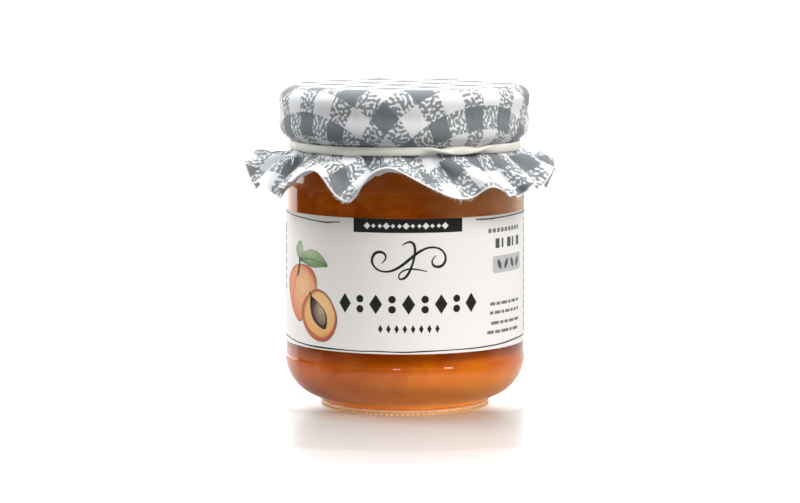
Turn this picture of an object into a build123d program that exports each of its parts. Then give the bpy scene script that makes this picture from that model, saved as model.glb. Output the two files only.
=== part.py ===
"""Jam jar with a cloth-covered lid.

A shut glass jar of jam with a wrap-around paper label.  A screw lid closes it, and a round
cloth is pulled over the lid and tied below it with a rubber band, so that its edge stands out
as a ruffled skirt.  Millimetres, +Z up, origin in the middle of the ring the jar stands on.
The middle of the label looks along -Y.
"""

from build123d import *

import os
from math import cos, pi, radians, sin, tan

# ---- Driving dimensions (mm) --------------------------------------------------------------

# Glass jar, outside
body_radius = 32.9
rim_height = 86.6
neck_height = 25.9          # from the shoulder step to the rim
body_wall = 3.3
foot_height = 1.7
foot_width = 3.2            # width of the ring that the jar stands on
foot_inner_slope = 1.0      # the ring's inner side leans in by this much
push_up = 2.4               # how far the middle of the base is raised
push_up_edge = 1.6          # and how far the base is raised next to the ring
heel_radius = 10.5          # round corner between the wall and the base
heel_slope = 26.0           # degrees that the base rises from the foot to the heel
heel_to_foot = 4.4          # straight stretch of the base between the heel and the foot ring
panel_recess = 0.25         # the wall above the heel is set back by this much
panel_margin = 0.72         # full-radius wall between the heel and that step
panel_step = 0.5            # height of the slope between the full radius and the panel
shoulder_set_in = 1.95      # step from the panel in to the neck
shoulder_rise = 0.7
shoulder_round = 0.9
neck_taper = 0.9            # the neck narrows by this much on its way up
neck_taper_height = 8.8     # above that height over the shoulder the neck is straight
neck_wall = 2.6
rim_round = 1.0

# Glass jar, inside
floor_middle = 5.2
floor_edge = 4.4
inner_heel = 9.0
inner_shoulder_drop = 3.0   # the inside starts to narrow this far below the shoulder step
inner_shoulder_rise = 1.2
inner_shoulder_radius = 6.0

# Jam
headspace = 14.1            # from the rim down to the jam

# Paper label
label_margin_low = 4.21     # from the step up to the label
label_margin_high = 6.7     # and from the label up to the shoulder
label_thickness = 0.12
label_seam = 9.0            # bare strip of glass at the back, between the label's two ends

# Lid
lid_reach = 3.4             # from the neck out to the lid's outer face
lid_height = 9.6
lid_sheet = 0.3
lid_corner = 2.6
curl_size = 1.2             # rolled edge at the bottom of the lid's skirt
curl_round = 0.45

# Cloth
cloth_thickness = 0.45
cloth_clearance = 0.25      # from the lid and from the neck
skirt_length = 13.9         # from the band to the edge
skirt_start_angle = 48.0    # degrees from straight down, where the skirt leaves the band
hang_angle = 25.0           # the same at the edge, in the middle of a hanging fold
flare_angle = 78.0          # the same at the edge, between two hanging folds
hanging_folds = (-113.0, -73.0, -28.0, 29.0, 57.0, 95.0, 134.0, 172.0, 209.0)
points_per_fold = 8

# Rubber band
band_drop = 5.7             # from the lid's lower edge down to the middle of the band
band_width = 2.3
band_thickness = 1.0
band_clearance = 0.15
band_round = 0.35

# ---- Fits worked out from the sizes above -------------------------------------------------

body_top = rim_height - neck_height
heel_tangent = heel_radius * tan(radians(90 - heel_slope) / 2)
base_run = heel_tangent + heel_to_foot
foot_radius = body_radius - base_run * cos(radians(heel_slope))
heel_low = foot_height + base_run * sin(radians(heel_slope))
heel_top = heel_low + heel_tangent
panel_bottom = heel_top + panel_margin
panel_radius = body_radius - panel_recess
neck_low_radius = panel_radius - shoulder_set_in
neck_radius = neck_low_radius - neck_taper
inner_radius = panel_radius - body_wall
inner_neck_radius = neck_radius - neck_wall
jam_level = rim_height - headspace
label_bottom = panel_bottom + label_margin_low
label_top = body_top - label_margin_high
lid_radius = neck_radius + lid_reach
lid_top = rim_height + lid_sheet
lid_bottom = lid_top - lid_height
band_height = lid_bottom - band_drop
band_top = band_height + band_width / 2
band_bottom = band_height - band_width / 2
cloth_neck_radius = neck_radius + cloth_clearance
band_inner_radius = cloth_neck_radius + cloth_thickness + band_clearance


def turned(corners):
    """A solid of revolution from (radius, height, rounding) corners of half its section."""
    outline = FilletPolyline(
        [(radius, height) for radius, height, _ in corners],
        radius=[rounding for _, _, rounding in corners],
        close=True,
    )
    half_section = Plane.XZ * make_face(outline.edges())
    return revolve(half_section, Axis.Z)


def inside_corners():
    """Corners of the jar's inside, from the middle of its floor to the straight neck."""
    narrowing = body_top - inner_shoulder_drop
    return [
        (0, floor_middle, 0),
        (inner_radius, floor_edge, inner_heel),
        (inner_radius, narrowing, inner_shoulder_radius),
        (inner_neck_radius, body_top + inner_shoulder_rise, inner_shoulder_radius),
    ]


def outside_corners():
    """Corners of the jar's outside, from the middle of its base to the rim."""
    ring_inner_radius = foot_radius - foot_width
    return [
        (0, push_up, 0),
        (ring_inner_radius - foot_inner_slope, push_up_edge, 2.0),
        (ring_inner_radius, 0, 0.6),
        (foot_radius, 0, 0.7),
        (foot_radius, foot_height, 0.3),
        (body_radius, heel_low, heel_radius),
        (body_radius, panel_bottom, 0.4),
        (panel_radius, panel_bottom + panel_step, 0.4),
        (panel_radius, body_top, shoulder_round),
        (neck_low_radius, body_top + shoulder_rise, 0.6),
        (neck_radius, body_top + neck_taper_height, 8.0),
        (neck_radius, rim_height, rim_round),
        (inner_neck_radius, rim_height, rim_round),
    ]


def glass_jar():
    """The glass: a straight body with a round heel, a foot ring, and a straight neck."""
    return turned(outside_corners() + inside_corners()[::-1])


def jam():
    """The jam, which fills the glass up to its level."""
    surface = [(inner_neck_radius, jam_level, 0), (0, jam_level, 0)]
    return turned(inside_corners() + surface)


def lid():
    """A sheet-metal cap that rests on the rim, with a rolled edge."""
    inner = lid_radius - lid_sheet
    curl_inner = inner - curl_size
    return turned([
        (0, lid_top, 0),
        (lid_radius, lid_top, lid_corner),
        (lid_radius, lid_bottom, curl_round),
        (curl_inner, lid_bottom, curl_round),
        (curl_inner, lid_bottom + curl_size, curl_round),
        (inner, lid_bottom + curl_size, 0.05),
        (inner, lid_top - lid_sheet, lid_corner - lid_sheet),
        (0, lid_top - lid_sheet, 0),
    ])


def label():
    """A paper strip round the panel, whose ends stop short of each other at the back."""
    height = label_top - label_bottom
    middle = Pos(0, 0, (label_top + label_bottom) / 2)
    strip = middle * Cylinder(panel_radius + label_thickness, height)
    strip -= middle * Cylinder(panel_radius, height)
    return strip - Pos(0, panel_radius, middle.position.Z) * Box(label_seam, body_radius, height)


def rubber_band():
    """The stretched band that ties the cloth to the neck."""
    outer = band_inner_radius + band_thickness
    return turned([
        (band_inner_radius, band_bottom, band_round),
        (outer, band_bottom, band_round),
        (outer, band_top, band_round),
        (band_inner_radius, band_top, band_round),
    ])


def flare_at(azimuth):
    """Degrees from straight down of the skirt's edge at an azimuth in degrees."""
    folds = list(hanging_folds) + [hanging_folds[0] + 360.0]
    while azimuth < folds[0]:
        azimuth += 360.0
    while azimuth >= folds[-1]:
        azimuth -= 360.0
    for low, high in zip(folds, folds[1:]):
        if low <= azimuth < high:
            raised = 0.5 - 0.5 * cos(2 * pi * (azimuth - low) / (high - low))
            return hang_angle + (flare_angle - hang_angle) * raised
    return hang_angle


def fold_azimuths():
    """Azimuths of the points of one ring, evenly spaced within each fold."""
    folds = list(hanging_folds) + [hanging_folds[0] + 360.0]
    azimuths = []
    for low, high in zip(folds, folds[1:]):
        for step in range(points_per_fold):
            azimuths.append(low + (high - low) * step / points_per_fold)
    return azimuths


def ring(radius_at, height_at):
    """A closed smooth ring, from its radius and height as functions of the azimuth."""
    points = []
    for azimuth in fold_azimuths():
        turn = radians(azimuth)
        radius = radius_at(azimuth)
        points.append((radius * sin(turn), -radius * cos(turn), height_at(azimuth)))
    return Wire([Edge.make_spline(points, periodic=True)])


def crown_rings(offset):
    """Rings of the cloth from the flat top over the lid's corner and in to the band.

    offset is the distance from the cloth's inner face: 0 for that face itself.
    """
    corner = lid_corner + cloth_clearance + offset
    side = lid_radius + cloth_clearance + offset
    top = lid_top + cloth_clearance + offset
    neck = cloth_neck_radius + offset
    rings = []
    for turn in (0, 30, 60, 90):
        radius = side - corner + corner * sin(radians(turn))
        height = top - corner + corner * cos(radians(turn))
        rings.append((radius, height))
    # Rings up the lid's side keep that stretch straight.
    side_height = top - corner - lid_bottom
    for share in (0.3, 0.6, 0.85):
        rings.append((side, lid_bottom + side_height * (1 - share)))
    # From the lid's lower edge the cloth is drawn in to the neck, upright at both ends.
    for share in (0, 0.25, 0.5, 0.75, 1):
        eased = share * share * (3 - 2 * share)
        height = lid_bottom + (band_top - lid_bottom) * share
        rings.append((side + (neck - side) * eased, height))
    rings.append((neck, band_height))
    rings.append((neck, band_bottom))
    return [ring(lambda _, r=radius: r, lambda _, h=height: h) for radius, height in rings]


def skirt_rings(offset):
    """Rings of the ruffled skirt, from just below the band to its edge."""
    neck = cloth_neck_radius
    rings = []
    for share in (0.25, 0.5, 0.75, 1.0):

        def angle(azimuth, part=share):
            edge = flare_at(azimuth)
            return radians(skirt_start_angle + (edge - skirt_start_angle) * part)

        def radius(azimuth, part=share, at=angle):
            return neck + skirt_length * part * sin(at(azimuth)) + offset * cos(at(azimuth))

        def height(azimuth, part=share, at=angle):
            return band_bottom - skirt_length * part * cos(at(azimuth)) + offset * sin(at(azimuth))

        rings.append(ring(radius, height))
    return rings


def cloth_face_parts(offset):
    """The flat top and the two lofted faces of one side of the cloth."""
    crown = crown_rings(offset)
    skirt = skirt_rings(offset)
    top = Face(crown[0])
    over_lid = Shell.make_loft(crown)
    hanging = Shell.make_loft([crown[-1]] + skirt)
    return [top] + over_lid.faces() + hanging.faces(), skirt[-1]


def cloth_cover():
    """The round cloth: smooth over the lid, tied at the neck, ruffled below."""
    inner_faces, inner_edge = cloth_face_parts(0.0)
    outer_faces, outer_edge = cloth_face_parts(cloth_thickness)
    hem = Shell.make_loft([inner_edge, outer_edge], ruled=True)
    return Solid(Shell(inner_faces + outer_faces + hem.faces()))


def write_parts():
    """Write one STEP file for each piece."""
    os.makedirs("parts", exist_ok=True)
    for piece in (glass_jar, jam, lid, label, rubber_band, cloth_cover):
        solid = piece()
        export_step(solid, f"parts/{piece.__name__}.step")
        print(piece.__name__, "volume", round(solid.volume / 1000, 3), "cm3")


write_parts()
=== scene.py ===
import math
import random

import bpy
import numpy as np
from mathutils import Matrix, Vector


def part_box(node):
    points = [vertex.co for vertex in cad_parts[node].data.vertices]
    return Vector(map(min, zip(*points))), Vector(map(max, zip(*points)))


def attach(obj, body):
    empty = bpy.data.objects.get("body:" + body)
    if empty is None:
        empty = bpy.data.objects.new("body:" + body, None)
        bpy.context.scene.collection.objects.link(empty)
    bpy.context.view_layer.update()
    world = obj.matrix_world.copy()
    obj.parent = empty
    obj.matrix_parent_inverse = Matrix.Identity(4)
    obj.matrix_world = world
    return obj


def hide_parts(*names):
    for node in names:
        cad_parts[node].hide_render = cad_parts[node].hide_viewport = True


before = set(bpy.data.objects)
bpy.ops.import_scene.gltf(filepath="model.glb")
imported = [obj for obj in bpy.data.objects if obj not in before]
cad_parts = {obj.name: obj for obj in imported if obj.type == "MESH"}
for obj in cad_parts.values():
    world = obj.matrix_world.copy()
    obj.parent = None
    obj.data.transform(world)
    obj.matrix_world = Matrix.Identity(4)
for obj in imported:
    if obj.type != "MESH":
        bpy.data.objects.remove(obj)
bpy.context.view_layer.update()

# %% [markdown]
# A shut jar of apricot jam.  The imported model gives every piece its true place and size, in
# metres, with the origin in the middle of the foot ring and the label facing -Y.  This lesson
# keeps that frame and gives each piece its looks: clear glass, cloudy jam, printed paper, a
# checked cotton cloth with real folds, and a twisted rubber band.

random.seed(7)
mm = 0.001
print("nodes:", sorted(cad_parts))


def node_radius(name):
    """Outer radius of a round CAD node, from its box."""
    low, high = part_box(name)
    return (high[0] - low[0]) / 2


body_radius = node_radius("glass_jar")
rim_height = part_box("glass_jar")[1][2]
lid_radius = node_radius("lid")
lid_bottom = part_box("lid")[0][2]
label_bottom, label_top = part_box("label")[0][2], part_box("label")[1][2]
band_bottom, band_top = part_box("rubber_band")[0][2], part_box("rubber_band")[1][2]
band_outer = node_radius("rubber_band")
jam_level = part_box("jam")[1][2]
cloth_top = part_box("cloth_cover")[1][2]
print(f"body {body_radius / mm:.1f} mm, rim {rim_height / mm:.1f} mm, jam to {jam_level / mm:.1f} mm")

# %% [markdown]
# Nearly every step begins the same way: one object is selected and made active, or some of
# its corners are picked by their place.  Two small helpers keep that in one spot, so that an
# operator never acts on something left selected by an earlier step.

# %% Helpers for selecting


def only(*objects):
    """Select just these objects, and make the first one active."""
    if bpy.context.object and bpy.context.object.mode != "OBJECT":
        bpy.ops.object.mode_set(mode="OBJECT")
    bpy.ops.object.select_all(action="DESELECT")
    for item in objects:
        item.select_set(True)
    bpy.context.view_layer.objects.active = objects[0]


def pick(item, test):
    """Go into edit mode with just the corners selected whose place passes the test."""
    only(item)
    mesh = item.data
    for part in (mesh.polygons, mesh.edges, mesh.vertices):
        part.foreach_set("select", [False] * len(part))
    mesh.vertices.foreach_set("select", [bool(test(corner.co)) for corner in mesh.vertices])
    bpy.ops.object.mode_set(mode="EDIT")
    bpy.ops.mesh.select_mode(type="VERT")


def object_mode():
    """Back to object mode."""
    bpy.ops.object.mode_set(mode="OBJECT")


def new_name(item, name):
    """Name an object and its mesh or curve alike."""
    item.name = name
    item.data.name = name
    return item


# %% [markdown]
# The view: a long lens, a little above the jar and looking down by six degrees.  A long lens
# keeps the label's edges nearly straight.

# %% Camera
view_distance = 0.815
view_height = 0.1337
view_pitch = 6.44
view_side = -0.00137
lens_mm = 134.5

bpy.ops.object.camera_add(location=(view_side, -view_distance, view_height))
camera = new_name(bpy.context.object, "camera")
camera.rotation_euler = (math.radians(90 - view_pitch), 0, 0)
camera.data.lens = lens_mm
camera.data.sensor_width = 36
camera.data.clip_start = 0.01
camera.data.clip_end = 50
bpy.context.scene.camera = camera
print("camera", tuple(camera.location))

# %% [markdown]
# Materials are small networks of nodes.  `add_node` makes one node and sets its values,
# and `sums` does arithmetic between sockets, so that each recipe below reads like a formula.

# %% Helpers for materials


def new_material(name):
    """A fresh material, its node tree and its main shader."""
    material = bpy.data.materials.new(name)
    material.use_nodes = True
    tree = material.node_tree
    return material, tree, tree.nodes["Principled BSDF"]


def connect(tree, value, socket):
    """Put a number, a colour or another node's output into a socket."""
    if isinstance(value, bpy.types.NodeSocket):
        tree.links.new(value, socket)
    else:
        socket.default_value = value


def add_node(tree, kind, settings=None, **values):
    """A node with its menu settings and its inputs, whose names have spaces as underscores."""
    made = tree.nodes.new("ShaderNode" + kind)
    for name, value in (settings or {}).items():
        setattr(made, name, value)
    for name, value in values.items():
        connect(tree, value, made.inputs[name.replace("_", " ")])
    return made


def sums(tree, operation, *values):
    """The result of one arithmetic step on numbers or sockets."""
    made = tree.nodes.new("ShaderNodeMath")
    made.operation = operation
    for socket, value in zip(made.inputs, values):
        connect(tree, value, socket)
    return made.outputs[0]


def blend(tree, share, first, second):
    """A colour that goes from the first to the second as the share goes from 0 to 1."""
    made = tree.nodes.new("ShaderNodeMix")
    made.data_type = "RGBA"
    connect(tree, share, made.inputs[0])
    connect(tree, first, made.inputs[6])
    connect(tree, second, made.inputs[7])
    return made.outputs[2]


def noise(tree, place, scale, detail=2.0, roughness=0.5, distortion=0.0):
    """A soft random pattern between 0 and 1 at a place."""
    made = add_node(tree, "TexNoise", Vector=place, Scale=scale, Detail=detail,
                    Roughness=roughness, Distortion=distortion)
    return made.outputs["Fac"]


def steps(tree, value, low, high, to_low=0.0, to_high=1.0):
    """A value between low and high, spread over another range and kept inside it."""
    made = add_node(tree, "MapRange", Value=value, From_Min=low, From_Max=high,
                    To_Min=to_low, To_Max=to_high)
    return made.outputs[0]


def bumps(tree, shader, height, depth, strength=0.5):
    """Small relief on a shader, from a height between 0 and 1 and its depth in metres."""
    made = add_node(tree, "Bump", Strength=strength, Distance=depth, Height=height)
    tree.links.new(made.outputs[0], shader.inputs["Normal"])


def colour(red, green, blue):
    """A colour as paint charts give it, 0 to 255, turned into the renderer's linear numbers."""

    def linear(part):
        part = part / 255
        return part / 12.92 if part <= 0.04045 else ((part + 0.055) / 1.055) ** 2.4

    return (linear(red), linear(green), linear(blue), 1.0)


# %% [markdown]
# The studio.  The jar stands on a glossy white table whose front edge is just out of view,
# so the glass mirrors the dim room in front and the bright wall behind.  A glossy
# table mirrors the jar most where it is looked at low, and blurs the mirror image with
# distance.  Farther off, and beside and behind the jar, the table is plain white to the
# camera.  Close round the jar the table's colour holds painted shade, darker and warmer.  Inside
# the foot ring a painted golden colour and glow stand in for the light that comes down through
# the jam.  Two patches of the table are painted dark, at the front and beside the jar: only
# mirror images show them, as painted reflections that give the low curve of the glass its
# darker edges.

# %% Floor
floor_left, floor_right, floor_front, floor_back = -0.17, 4.0, -0.147, 5.0
ring_edge = 0.0226
lit_from, lit_to = 0.024, 0.040
white_from, white_to = 0.074, 0.114
# painted shade: shaded_table is the table's colour close round the jar, darker and warmer than
# lit_table farther out
shaded_table, lit_table = (0.425, 0.37, 0.30, 1), (0.545, 0.545, 0.53, 1)
# painted reflection: a dark colour for table patches that only mirror images show
painted_dark_table = (0.14, 0.14, 0.14, 1)
# painted light: a golden floor colour and a golden glow inside the foot ring stand in for light that
# comes down through the jam
painted_golden_floor, painted_golden_glow = (0.62, 0.42, 0.16, 1), (0.95, 0.77, 0.45, 1)
painted_glow_strength = 0.85

bpy.ops.object.select_all(action="DESELECT")
bpy.ops.mesh.primitive_plane_add(size=1)
floor = new_name(bpy.context.object, "studio_floor")
bpy.ops.object.mode_set(mode="EDIT")
bpy.ops.mesh.select_all(action="SELECT")
bpy.ops.transform.resize(value=(floor_right - floor_left, floor_back - floor_front, 1))
floor_middle_x, floor_middle_y = (floor_left + floor_right) / 2, (floor_front + floor_back) / 2
bpy.ops.transform.translate(value=(floor_middle_x, floor_middle_y, 0))
object_mode()
material, tree, shader = new_material("studio_floor")
shader.inputs["Roughness"].default_value = 0.24
shader.inputs["IOR"].default_value = 1.36
place = add_node(tree, "TexCoord").outputs["Object"]
length = add_node(tree, "VectorMath", {"operation": "LENGTH"})
tree.links.new(place, length.inputs[0])
from_axis = length.outputs["Value"]
parts = add_node(tree, "SeparateXYZ", Vector=place)
sideways = sums(tree, "ABSOLUTE", parts.outputs["X"])
depth = parts.outputs["Y"]

outside_ring = steps(tree, from_axis, ring_edge, ring_edge + 0.001)
aside = steps(tree, sideways, 0.030, 0.043)
behind = steps(tree, depth, -0.017, 0.010)
plain = sums(tree, "MAXIMUM", steps(tree, from_axis, white_from, white_to), aside)
plain = sums(tree, "MULTIPLY", sums(tree, "MAXIMUM", plain, behind), outside_ring)
# painted glow: the floor under the foot ring glows golden, though it is no lamp
glow = steps(tree, from_axis, ring_edge - 0.0008, ring_edge + 0.0002, painted_glow_strength, 0.0)

# painted shade: close round the jar the table's base colour is darker and warmer
base = blend(tree, steps(tree, from_axis, lit_from, lit_to), shaded_table, lit_table)
# painted reflection: dark patches at the front and beside the jar give the glass's low curve its darker
# edges
far_front = steps(tree, depth, -0.106, -0.076, 1.0, 0.0)
in_front = steps(tree, depth, -0.040, -0.020, 1.0, 0.0)
beside = sums(tree, "MULTIPLY", steps(tree, sideways, 0.045, 0.055), in_front)
base = blend(tree, sums(tree, "MAXIMUM", far_front, beside), base, painted_dark_table)
# painted light: the floor colour inside the foot ring is golden
base = blend(tree, outside_ring, painted_golden_floor, base)
tree.links.new(base, shader.inputs["Base Color"])
path = add_node(tree, "LightPath")
seen = sums(tree, "MULTIPLY", plain, path.outputs["Is Camera Ray"])
light_tone = blend(tree, outside_ring, painted_golden_glow, (1, 1, 1, 1))
tree.links.new(light_tone, shader.inputs["Emission Color"])
tree.links.new(sums(tree, "MAXIMUM", seen, glow), shader.inputs["Emission Strength"])
floor.data.materials.append(material)
print("floor from y", floor_front, "to", floor_back)

# %% [markdown]
# The room is a bright wall behind and a white ceiling.  In front it is dark, and on the left
# the wall ends with a sharp edge, which draws a pale stripe with a crisp border down the left
# side of the glass.  On the right it fades out slowly, and so does its mirror image.  A panel
# at the back on the left is brighter than the rest, and the whole wall is a little brighter
# in mirror images than it is as a lamp.

# %% Room light
room = bpy.data.worlds.new("studio_room")
bpy.context.scene.world = room
room.use_nodes = True
tree = room.node_tree
tree.nodes.clear()
path = add_node(tree, "LightPath")
direction = add_node(tree, "TexCoord").outputs["Generated"]


def facing(azimuth):
    """How far a direction lies towards an azimuth right of the front, as -1 to 1."""
    made = add_node(tree, "VectorMath", {"operation": "DOT_PRODUCT"}, Vector=direction)
    turn = math.radians(azimuth)
    made.inputs[1].default_value = (math.sin(turn), -math.cos(turn), 0)
    return made.outputs["Value"]


left_edge, right_fade = -127, 140
panel_azimuth, panel_gain = -150, 1.9
mirror_gain = 1.3
wall_left = steps(tree, facing(left_edge + 270), -0.01, 0.03)
wall_right = steps(tree, facing(right_fade + 90), -0.72, 0.0, 0.02, 1.0)
wall = sums(tree, "MULTIPLY", wall_left, wall_right)
panel = steps(tree, facing(panel_azimuth), 0.86, 0.93, 1.0, panel_gain)
wall = sums(tree, "MULTIPLY", wall, panel)
mirrored = steps(tree, path.outputs["Is Glossy Ray"], 0.0, 1.0, 1.0, mirror_gain)
wall = sums(tree, "MULTIPLY", wall, mirrored)
height = add_node(tree, "SeparateXYZ", Vector=direction).outputs["Z"]
ceiling = steps(tree, height, 0.2, 0.85, 0.02, 0.6)
room_level = sums(tree, "MAXIMUM", wall, ceiling)
to_eye = sums(tree, "MAXIMUM", path.outputs["Is Camera Ray"], path.outputs["Is Transmission Ray"])
level = add_node(tree, "Mix", {"data_type": "FLOAT"})
connect(tree, to_eye, level.inputs[0])
connect(tree, room_level, level.inputs[2])
connect(tree, 1.0, level.inputs[3])
background = add_node(tree, "Background", Color=(1, 1, 1, 1), Strength=level.outputs[0])
output = add_node(tree, "OutputWorld")
tree.links.new(background.outputs[0], output.inputs[0])
print("room light ready")

# %% [markdown]
# Four soft lamps: a large one high on the right, which is the main light, a wide one in
# front on the left that opens the shadows, one on the left for the cloth's edge and the
# label's left end, and a small one close above that makes the top of the cloth nearly white.
# Two narrow lamps draw the short bright glints on the glass, and only these show in it.

# %% Lamps


def soft_lamp(name, azimuth, elevation, distance, size, power, tint=(1, 1, 1), shows=True):
    """A rectangular lamp that looks at the jar; shows is False where it leaves no glint."""
    turn, rise = math.radians(azimuth), math.radians(elevation)
    aim = Vector((0, 0, 0.045))
    level = math.cos(rise)
    away = Vector((math.sin(turn) * level, -math.cos(turn) * level, math.sin(rise)))
    bpy.ops.object.light_add(type="AREA", location=aim + away * distance)
    lamp = new_name(bpy.context.object, name)
    lamp.rotation_euler = away.to_track_quat("Z", "Y").to_euler()
    lamp.data.shape = "RECTANGLE"
    lamp.data.size, lamp.data.size_y = size
    lamp.data.energy = power
    lamp.data.color = tint
    lamp.visible_glossy = shows
    return lamp


warm_white = (1.0, 0.985, 0.965)
soft_lamp("lamp_right", 46, 40, 0.9, (0.36, 0.36), 5.0, warm_white, shows=False)
soft_lamp("lamp_right_spark", 47, 40, 0.9, (0.12, 0.36), 1.7, warm_white)
soft_lamp("lamp_front_spark", -10, 42, 1.1, (0.12, 0.12), 0.4)
soft_lamp("lamp_front_left", -12, 48, 1.1, (0.7, 0.5), 2.2, shows=False)
soft_lamp("lamp_left_back", -105, 32, 0.8, (0.4, 0.4), 4.2, shows=False)
soft_lamp("lamp_top", 180, 82, 0.42, (0.2, 0.2), 0.8, shows=False)

# %% [markdown]
# The glass jar is a turned shape.  Its half outline is drawn as on paper: one point is
# extruded from corner to corner, and each corner is then rounded with a bevel.  Spinning the
# outline about the upright axis gives both faces of the wall at once, so the wall has its
# true thickness everywhere.

# %% Turned shapes


def half_outline(name, corners, arc_steps=7):
    """Draw and round a half outline from (radius, height, rounding) corners in metres."""
    bpy.ops.object.select_all(action="DESELECT")
    bpy.ops.mesh.primitive_plane_add(size=mm)
    item = new_name(bpy.context.object, name)
    bpy.ops.object.mode_set(mode="EDIT")
    bpy.ops.mesh.select_all(action="SELECT")
    bpy.ops.mesh.merge(type="CENTER")
    bpy.ops.transform.translate(value=(corners[0][0], 0, corners[0][1]))
    for start, end in zip(corners, corners[1:]):
        reach = (end[0] - start[0], 0, end[1] - start[1])
        bpy.ops.mesh.extrude_region_move(TRANSFORM_OT_translate={"value": reach})
    object_mode()
    for before, corner, after in zip(corners, corners[1:], corners[2:]):
        if corner[2] > 0:
            round_corner(item, before, corner, after, arc_steps)
    return item


def round_corner(item, before, corner, after, arc_steps):
    """Bevel one corner of an outline to its rounding radius."""
    radius, height, rounding = corner
    back = math.atan2(before[1] - height, before[0] - radius)
    ahead = math.atan2(after[1] - height, after[0] - radius)
    opening = abs((back - ahead + math.pi) % (2 * math.pi) - math.pi)
    width = rounding / math.tan(opening / 2)
    pick(item, lambda co: math.hypot(co.x - radius, co.z - height) < 1e-7)
    count = arc_steps if rounding < 3 * mm else 2 * arc_steps
    bpy.ops.mesh.bevel(offset=width, segments=count, affect="VERTICES", profile=0.5)
    object_mode()


def spin_round(item, step_count):
    """Spin a half outline into a closed turned shape with its faces pointing outwards."""
    only(item)
    bpy.ops.object.mode_set(mode="EDIT")
    bpy.ops.mesh.select_all(action="SELECT")
    bpy.ops.mesh.spin(steps=step_count, angle=2 * math.pi, center=(0, 0, 0), axis=(0, 0, 1))
    bpy.ops.mesh.select_all(action="SELECT")
    bpy.ops.mesh.remove_doubles(threshold=1e-7)
    bpy.ops.mesh.normals_make_consistent(inside=False)
    object_mode()
    bpy.ops.object.shade_smooth_by_angle(angle=math.radians(50))
    print(item.name, len(item.data.vertices), "corners", len(item.data.polygons), "faces")


# %% [markdown]
# The jar's corners.  The body's radius and the rim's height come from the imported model, and
# the other sizes are set from them: a wall just over three millimetres thick, a heel that
# slopes in to a narrow foot ring, a panel for the label set back by a quarter of a
# millimetre, and a neck that the lid and the cloth hide.

# %% Glass jar sizes
neck_height = 25.9 * mm
body_top = rim_height - neck_height
panel_recess = 0.25 * mm
panel_radius = body_radius - panel_recess
body_wall = 3.3 * mm
neck_wall = 2.6 * mm
neck_low_radius = panel_radius - 1.95 * mm
neck_radius = neck_low_radius - 0.9 * mm
inner_radius = panel_radius - body_wall
inner_neck_radius = neck_radius - neck_wall
heel_radius = 10.5 * mm
heel_slope = math.radians(26)
heel_tangent = heel_radius * math.tan((math.pi / 2 - heel_slope) / 2)
base_run = heel_tangent + 4.4 * mm
foot_radius = body_radius - base_run * math.cos(heel_slope)
foot_height = 1.7 * mm
foot_width = 3.2 * mm
heel_low = foot_height + base_run * math.sin(heel_slope)
panel_bottom = heel_low + heel_tangent + 0.72 * mm
floor_middle, floor_edge = 5.2 * mm, 4.4 * mm

outside = [
    (0, 2.4 * mm, 0),
    (foot_radius - foot_width - 1.0 * mm, 1.6 * mm, 2.0 * mm),
    (foot_radius - foot_width, 0, 0.6 * mm),
    (foot_radius, 0, 0.7 * mm),
    (foot_radius, foot_height, 0.3 * mm),
    (body_radius, heel_low, heel_radius),
    (body_radius, panel_bottom, 0.4 * mm),
    (panel_radius, panel_bottom + 0.5 * mm, 0.4 * mm),
    (panel_radius, body_top, 0.9 * mm),
    (neck_low_radius, body_top + 0.7 * mm, 0.6 * mm),
    (neck_radius, body_top + 8.8 * mm, 8.0 * mm),
    (neck_radius, rim_height, 1.0 * mm),
    (inner_neck_radius, rim_height, 1.0 * mm),
]


def inside(grow=0.0):
    """Corners of the jar's inside, from the floor up, moved into the glass by grow."""
    return [
        (0, floor_middle - grow, 0),
        (inner_radius + grow, floor_edge - grow, 9.0 * mm),
        (inner_radius + grow, body_top - 3.0 * mm, 6.0 * mm),
        (inner_neck_radius + grow, body_top + 1.2 * mm, 6.0 * mm),
    ]


print(f"foot ring {foot_radius / mm:.2f} mm, step above the heel at {panel_bottom / mm:.2f} mm")

# %% [markdown]
# The foot ring isn't smooth: glass makers stipple it, so that the hot jar touches the belt
# on small points only.  Each little tooth takes four steps of the spin, and one of the four
# is lifted off the table.

# %% Glass jar
tooth_count = 98
tooth_height = 0.32 * mm

glass = half_outline("glass_jar_clear", outside + inside()[::-1])
spin_round(glass, tooth_count * 4)


def in_groove(co):
    """True for the lowest points of the foot ring in every fourth column."""
    if co.z > 0.45 * mm or not foot_radius - foot_width - 0.3 * mm < math.hypot(co.x, co.y):
        return False
    column = math.atan2(co.y, co.x) / (2 * math.pi) * tooth_count * 4
    return round(column) % 4 == 0


pick(glass, in_groove)
bpy.ops.transform.translate(value=(0, 0, tooth_height))
object_mode()
print("foot ring with", tooth_count, "teeth")

# %% [markdown]
# The glass is clear, with slow waves left by the mould.  The stippled foot ring is rough and
# only half clear, and its golden colour there is painted light, standing in for the light that
# comes down through the jam and is scattered by the stipples.  Lamps shine through the wall as
# if it were a thin pane, which keeps the jam bright and lets the jar throw a soft shadow.

# %% Clear glass
# painted light: the golden tone of the stippled foot ring stands in for light coming down through the
# jam
flint, painted_golden_ring_tone = (0.985, 0.995, 0.99, 1), (1.0, 0.82, 0.52, 1)
stippled_roughness, stippled_clearness = 0.35, 0.5

material, tree, shader = new_material("clear_flint_glass")
shader.inputs["IOR"].default_value = 1.5
place = add_node(tree, "TexCoord").outputs["Object"]
height = add_node(tree, "SeparateXYZ", Vector=place).outputs["Z"]
stippled = steps(tree, height, 0.7 * mm, 1.3 * mm, 1.0, 0.0)
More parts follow.
